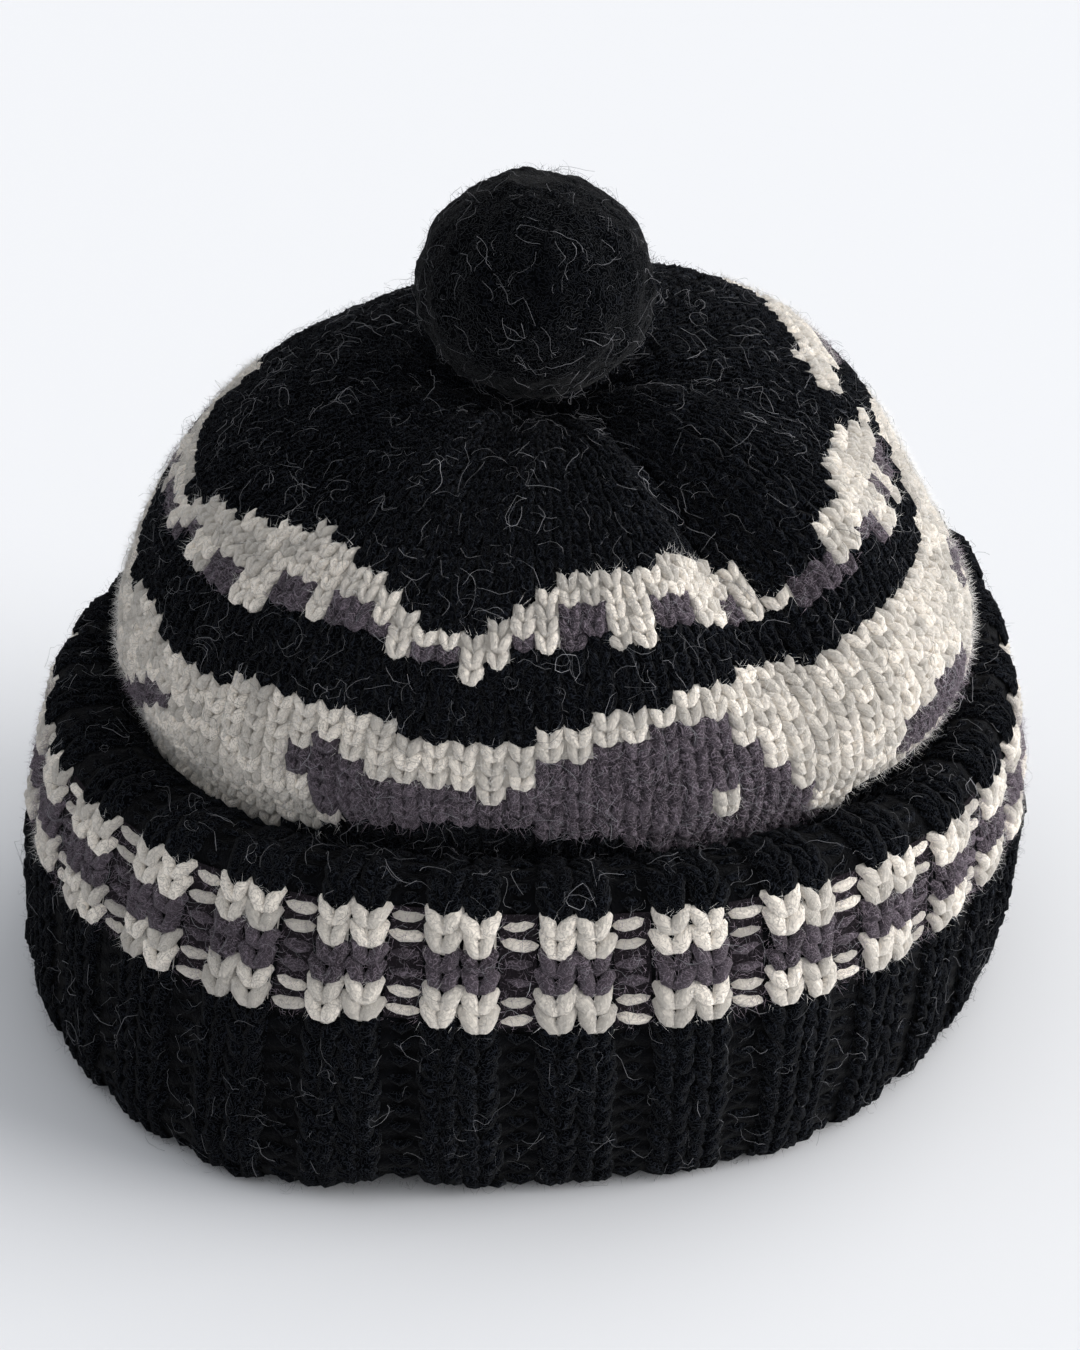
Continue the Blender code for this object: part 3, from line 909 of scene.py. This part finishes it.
def raise_bumps(tree, shader, height, strength, distance):
    """Turns a height into bumps on a shader."""
    inputs = {"Strength": strength, "Distance": distance, "Height": height}
    tree.links.new(result(tree, "ShaderNodeBump", inputs), shader.inputs["Normal"])


def hair_lines(tree, where, scale, bands, width, turn):
    """A web of thin curled lines, as loose hairs felted on to wool: the level lines of a noise."""
    inputs = {"Vector": where, "W": turn, "Scale": scale, "Detail": 1.0, "Distortion": 0.6}
    noise = add_node(tree, "ShaderNodeTexNoise", inputs, noise_dimensions="4D")
    wrapped = worked_out(tree, "FRACT", worked_out(tree, "MULTIPLY", output(noise), bands))
    off_line = worked_out(tree, "ABSOLUTE", worked_out(tree, "SUBTRACT", wrapped, 0.5))
    line = {"Value": off_line, "From Min": 0.0, "From Max": width, "To Min": 1.0, "To Max": 0.0}
    return result(tree, "ShaderNodeMapRange", line)


def yarn_wool(name, dark, light, hair, sheen):
    """Wool yarn: soft tones from stitch to stitch, fine streaks along its plies with painted shade where
    their bumps are low, and a matt, hairy shine.
    """
    finish = {
        "Roughness": 0.95,
        "Diffuse Roughness": 1.0,
        "Specular IOR Level": 0.0,
        "Sheen Weight": sheen,
        "Sheen Roughness": 0.35,
        "Sheen Tint": (1.0, 1.0, 1.0, 1.0),
    }
    material, tree, shader = new_material(name, finish)
    tone = output(add_node(tree, "ShaderNodeAttribute", attribute_name="tone"), "Fac")
    ply = output(add_node(tree, "ShaderNodeAttribute", attribute_name="ply"), "Vector")
    run = output(add_node(tree, "ShaderNodeAttribute", attribute_name="run"), "Fac")
    twist = {"Vector": ply, "Angle": worked_out(tree, "MULTIPLY", run, 1.8)}
    turned = result(tree, "ShaderNodeVectorRotate", twist, rotation_type="Z_AXIS")
    height = worked_out(tree, "MULTIPLY_ADD", tone, 40.0, worked_out(tree, "MULTIPLY", run, 0.5))
    lift = result(tree, "ShaderNodeCombineXYZ", {"Z": height})
    where = output(add_node(tree, "ShaderNodeTexCoord"), "Object")
    streaks = noise_of(tree, worked_out(tree, "ADD", turned, lift, kind=VECTOR_MATHS), 3.0, 3.0, 0.7)
    fuzz = noise_of(tree, where, 1400.0, 4.0, 0.65)
    both = result(tree, "ShaderNodeMix", {"Factor": 0.4, "A": streaks, "B": fuzz}, data_type="FLOAT")
    # The darker end comes in by the stitch's random tone and by the streaks and fuzz that also raise the
    # bumps, so the low parts of the bumps are painted darker: painted shade in the grooves.
    share = spread_out(tree, worked_out(tree, "MULTIPLY_ADD", tone, 0.5, both), 0.38, 0.95)
    coarse = hair_lines(tree, where, 420.0, 7.0, 0.10, 1.0)
    web = worked_out(tree, "MAXIMUM", coarse, hair_lines(tree, where, 800.0, 6.0, 0.12, 5.0))
    haired = mix_colours(tree, web, mix_colours(tree, share, dark, light), hair)
    tree.links.new(haired, shader.inputs["Base Color"])
    raise_bumps(tree, shader, worked_out(tree, "MULTIPLY_ADD", web, 0.35, both), 1.0, 0.45 * MM)
    return material


def hair_wool(name, colour, rough=0.8):
    """The wool of loose hairs, a little lighter and darker from place to place."""
    material, tree, shader = new_material(name, {"Roughness": rough, "Specular IOR Level": 0.2})
    where = output(add_node(tree, "ShaderNodeTexCoord"), "Object")
    noise = add_node(tree, "ShaderNodeTexNoise", {"Vector": where, "Scale": 260.0, "Detail": 2.0})
    mixed = mix_colours(tree, output(noise), shade(colour, 0.55), shade(colour, 1.35))
    tree.links.new(mixed, shader.inputs["Base Color"])
    return material


def purl_fabric(name, dark, light, wales):
    """The back of the knitting: rows of interlocking purl bumps, from a UV map counted in stitches, painted
    darker as shade where the bumps are low.
    """
    finish = {"Roughness": 0.95, "Specular IOR Level": 0.05, "Sheen Weight": 0.03}
    material, tree, shader = new_material(name, finish)
    grid = add_node(tree, "ShaderNodeUVMap", uv_map="stitches")
    split = add_node(tree, "ShaderNodeSeparateXYZ", {"Vector": output(grid)})
    across, up = (
        worked_out(tree, "SINE", worked_out(tree, "MULTIPLY", output(split, axis), TAU * count))
        for axis, count in (("X", wales), ("Y", 1.0))
    )
    crossed = worked_out(tree, "MULTIPLY_ADD", across, 0.45, up)
    fuzz = noise_of(tree, output(add_node(tree, "ShaderNodeTexCoord"), "Object"), 900.0, 4.0, 0.7)
    height = worked_out(tree, "MULTIPLY_ADD", crossed, 0.4, fuzz)
    # The colour follows the bump height: the low parts between the bumps are painted darker, painted shade.
    mixed = mix_colours(tree, spread_out(tree, height, 0.0, 1.1), dark, light)
    tree.links.new(mixed, shader.inputs["Base Color"])
    raise_bumps(tree, shader, height, 0.9, 1.0 * MM)
    return material


# Of each yarn, how dark its darker stitch tones and the painted shade in its grooves are, how pale the hairs
# felted on to it, and its sheen
YARN_SHADES = {"black": (0.5, 7.0, 0.04), "cream": (0.48, 0.66, 0.15), "grey": (0.42, 2.8, 0.12)}


def yarns(colours):
    """The wool of each yarn, by its name."""
    found = {}
    for label, (dark_tone_and_shade, bright, sheen) in YARN_SHADES.items():
        light = tuple(getattr(colours, label))
        name = label + "_yarn"
        found[label] = yarn_wool(name, shade(light, dark_tone_and_shade), light, shade(light, bright), sheen)
    return found


# Operators


class KNITCAP_OT_fabric(bpy.types.Operator):
    """Lays the fabric that shows inside the cap and between the stitches."""

    bl_idname = "knitcap.fabric"
    bl_label = "Lay the fabric"

    def execute(self, context):
        black = tuple(context.scene.knit_wool.black)
        # The purl side's darker end, a third of the black, is painted shade between its bumps.
        wool = purl_fabric("purl_side", shade(black, 0.35), black, context.scene.knit_gauge.wales)
        for node_name, slope in FABRIC_SLOPES.items():
            fabric_behind(node_name, slope, wool)
        return {"FINISHED"}


class KNITCAP_OT_crown(bpy.types.Operator):
    """Knits the crown's stitches over the frame, each yarn a piece."""

    bl_idname = "knitcap.crown"
    bl_label = "Knit the crown"

    def execute(self, context):
        settings = context.scene.knit_gauge
        grid = crown_grid(settings)
        wools = yarns(context.scene.knit_wool)
        tree = stitch_tree("Crown knit stitch", True)
        for colour, cells in crown_stitches(settings).items():
            depth = STITCH_DEPTH[colour]
            inset = STITCH_INSET * depth
            uneven = settings.unevenness
            points = stitch_points("crown_points", grid, cells, depth, inset, uneven, CROWN_SEED)
            thick = BLACK_CROWN_THICKNESS if colour == "black" else LEG_THICKNESS
            name = "crown_" + colour
            grown_stitches(name + "_stitches", tree, points, colour, wools[colour], KNIT_LEG, thick)
            lay_ground(name + "_ground", grid, cells, wools[colour])
        return {"FINISHED"}


class KNITCAP_OT_cuff(bpy.types.Operator):
    """Knits the cuff's ribs over the frame, two knit wales and a purl one by turns."""

    bl_idname = "knitcap.cuff"
    bl_label = "Knit the cuff"

    def execute(self, context):
        settings = context.scene.knit_gauge
        grid = cuff_grid(settings)
        wools = yarns(context.scene.knit_wool)
        kinds = {
            "knit": (stitch_tree("Cuff knit stitch", True), KNIT_LEG, LEG_THICKNESS),
            "purl": (stitch_tree("Cuff purl stitch", False), PURL_LOOP, PURL_THICKNESS),
        }
        # The ground behind the cream and grey purl bumps is a dark grey sheet: painted shade in the recess
        # between the ribs.
        dim = shade(context.scene.knit_wool.grey, 0.42)
        purl_ground = yarn_wool("purl_ground", shade(dim, 0.4), dim, dim, 0.02)
        for (kind, colour), cells in cuff_stitches(settings).items():
            depth = STITCH_DEPTH[colour]
            inset = STITCH_INSET * depth + (PURL_SINK[colour] if kind == "purl" else 0.0)
            uneven = settings.unevenness
            points = stitch_points("cuff_points", grid, cells, depth, inset, uneven, CUFF_SEED)
            tree, shape, thick = kinds[kind]
            name = "cuff_" + colour + "_" + kind
            grown_stitches(name, tree, points, colour, wools[colour], shape, thick)
            if kind == "knit":
                narrow = cells if colour == "black" else cells * GROUND_NARROWING
                lay_ground(name + "_ground", grid, narrow, wools[colour])
            elif colour != "black":
                # Pale purl wales get the dark ground of painted shade.
                lay_ground(name + "_ground", grid, cells, purl_ground, PURL_GROUND_INSET)
        return {"FINISHED"}


class KNITCAP_OT_pompom(bpy.types.Operator):
    """Felts the pompom."""

    bl_idname = "knitcap.pompom"
    bl_label = "Felt the pompom"

    def execute(self, context):
        mesh, editable = merged_copy("pompom", "pompom_base")
        editable.to_mesh(mesh)
        editable.free()
        black = context.scene.knit_wool.black
        # The pompom's darker end is painted shade in the low parts of its fine bumps.
        wool = yarn_wool("pompom_wool", shade(black, 0.4), shade(black, 1.3), shade(black, 3.2), 0.07)
        values = {"Detail": 2, "Felting": POMPOM_FELTING, "Wool": wool}
        made = grow("pompom_felt", mesh, felt_tree(), values)
        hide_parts("pompom")
        return {"FINISHED"}


class KNITCAP_OT_fuzz(bpy.types.Operator):
    """Raises the loose hairs and curls that stand on the felted wool."""

    bl_idname = "knitcap.fuzz"
    bl_label = "Raise the fuzz"

    def execute(self, context):
        gauge = context.scene.knit_gauge
        colours = context.scene.knit_wool
        fuzz = context.scene.knit_fuzz
        curl_tree = fibre_tree("Curls", curl_curves, CURL_POINTS)
        wisp_tree = fibre_tree("Wisps", wisp_curves, WISP_POINTS)
        down_tree = fibre_tree("Down")
        pale = hair_wool("pale_hair", colours.pale_hair)
        dim = hair_wool("dim_hair", shade(colours.pale_hair, 0.7))
        rust = hair_wool("rust_hair", colours.rust_hair)
        dark = hair_wool("black_hair", shade(colours.black, 6.0), 0.95)
        cream = hair_wool("cream_hair", colours.cream)
        grey = hair_wool("grey_hair", shade(colours.grey, 3.8))
        own = {"black": dark, "cream": cream, "grey": grey}
        over = {"black": dim, "cream": dark, "grey": pale}
        cuff_cells = {}
        for (kind, colour), cells in cuff_stitches(gauge).items():
            shown = "grey" if (kind, colour) == ("purl", "cream") else colour
            cuff_cells.setdefault(shown, []).append(cells)
        cuff_cells = {colour: np.concatenate(cells) for colour, cells in cuff_cells.items()}
        seed = FIRST_HAIR_SEED
        for part, grid, found in (
            ("crown", crown_grid(gauge), crown_stitches(gauge)),
            ("cuff", cuff_grid(gauge), cuff_cells),
            ("pompom", pompom_grid(), {"black": pompom_stitches()}),
        ):
            for colour, cells in found.items():
                is_black = colour == "black"
                shortest, longest = DOWN_LENGTHS[colour]
                down = dict(DOWN, Shortest=shortest, Longest=longest)
                downy = fuzz.down * DOWN_SHARE[colour] * (BLACK_DOWN[part] if is_black else 1.0)
                wispy = fuzz.wisps * WISP_SHARE[colour] * WISPS_ON[part]
                curly = 0.0 if colour == "cream" else fuzz.curls * CURLS_ON[part]
                for label, tree, wool, facts, density in (
                    ("down", down_tree, own[colour], down, downy),
                    ("wisps", wisp_tree, over[colour], WISP, wispy),
                    ("curls", curl_tree, pale, CURL, curly),
                    ("rust", wisp_tree, rust, WISP, STRAY_DENSITY if is_black else 0.0),
                ):
                    if density:
                        sheet = cell_sheet("sheet", grid, cells, -HAIR_ROOT)
                        name = part + "_" + colour + "_" + label
                        scatter(name, sheet, tree, wool, seed, dict(facts, Density=density))
                seed += 1
        return {"FINISHED"}


def add_window(name, towards, spread, power, colour):
    """The even, soft light of a large window in one direction."""
    light = bpy.data.lights.new(name, "SUN")
    light.angle = math.radians(spread)
    light.energy = power
    light.color = colour
    made = bpy.data.objects.new(name, light)
    made.rotation_euler = (-Vector(towards)).to_track_quat("-Z", "Y").to_euler()
    bpy.context.scene.collection.objects.link(made)


class KNITCAP_OT_stage(bpy.types.Operator):
    """Sets the floor, the lights and the camera."""

    bl_idname = "knitcap.stage"
    bl_label = "Set the stage"

    def execute(self, context):
        scene = context.scene
        settings = scene.knit_stage
        half = FLOOR_HALF
        mesh = bpy.data.meshes.new("floor")
        corners = [(-half, -half, 0), (half, -half, 0), (half, half, 0), (-half, half, 0)]
        mesh.from_pydata(corners, [], [(0, 1, 2, 3)])
        floor = bpy.data.objects.new("floor", mesh)
        scene.collection.objects.link(floor)
        mesh.materials.append(new_material("white_surface", WHITE)[0])
        for name, facts in WINDOWS.items():
            add_window(name, *facts)
        world = bpy.data.worlds.new("room")
        world.use_nodes = True
        sky = world.node_tree.nodes["Background"]
        sky.inputs["Color"].default_value = (*SKY, 1.0)
        sky.inputs["Strength"].default_value = SKY_STRENGTH
        scene.world = world
        lens = bpy.data.cameras.new("camera")
        lens.sensor_fit = "HORIZONTAL"
        lens.sensor_width = SENSOR
        lens.lens = settings.lens
        camera = bpy.data.objects.new("camera", lens)
        scene.collection.objects.link(camera)
        tilt = settings.elevation
        back = Vector((0.0, -math.cos(tilt), math.sin(tilt)))
        camera.location = VIEW_TARGET + back * settings.distance
        camera.rotation_euler = (0.5 * math.pi - tilt, 0.0, 0.0)
        scene.camera = camera
        scene.view_settings.view_transform = "Standard"
        return {"FINISHED"}


OPERATORS = (
    KNITCAP_OT_fabric,
    KNITCAP_OT_crown,
    KNITCAP_OT_cuff,
    KNITCAP_OT_pompom,
    KNITCAP_OT_fuzz,
    KNITCAP_OT_stage,
)
SETTINGS = {
    "knit_gauge": KnitSettings,
    "knit_wool": WoolSettings,
    "knit_fuzz": FuzzSettings,
    "knit_stage": StageSettings,
}


class KNITCAP_PT_panel(bpy.types.Panel):
    """The knit cap's steps and settings."""

    bl_idname = "KNITCAP_PT_panel"
    bl_label = "Knit Cap"
    bl_space_type = "VIEW_3D"
    bl_region_type = "UI"
    bl_category = "Knit Cap"

    def draw(self, context):
        for kind in OPERATORS:
            self.layout.operator(kind.bl_idname)
        for label in SETTINGS:
            group = getattr(context.scene, label)
            box = self.layout.box()
            for name in group.bl_rna.properties.keys():
                if name not in ("rna_type", "name"):
                    box.prop(group, name)


def register():
    for label, kind in SETTINGS.items():
        bpy.utils.register_class(kind)
        setattr(bpy.types.Scene, label, bpy.props.PointerProperty(type=kind))
    for kind in (*OPERATORS, KNITCAP_PT_panel):
        bpy.utils.register_class(kind)


def unregister():
    for kind in (KNITCAP_PT_panel, *reversed(OPERATORS)):
        bpy.utils.unregister_class(kind)
    for label, kind in SETTINGS.items():
        delattr(bpy.types.Scene, label)
        bpy.utils.unregister_class(kind)


def main():
    """Dresses the frame step by step."""
    register()
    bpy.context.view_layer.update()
    for kind in OPERATORS:
        group, step = kind.bl_idname.split(".")
        getattr(getattr(bpy.ops, group), step)()


if __name__ == "__main__":
    main()
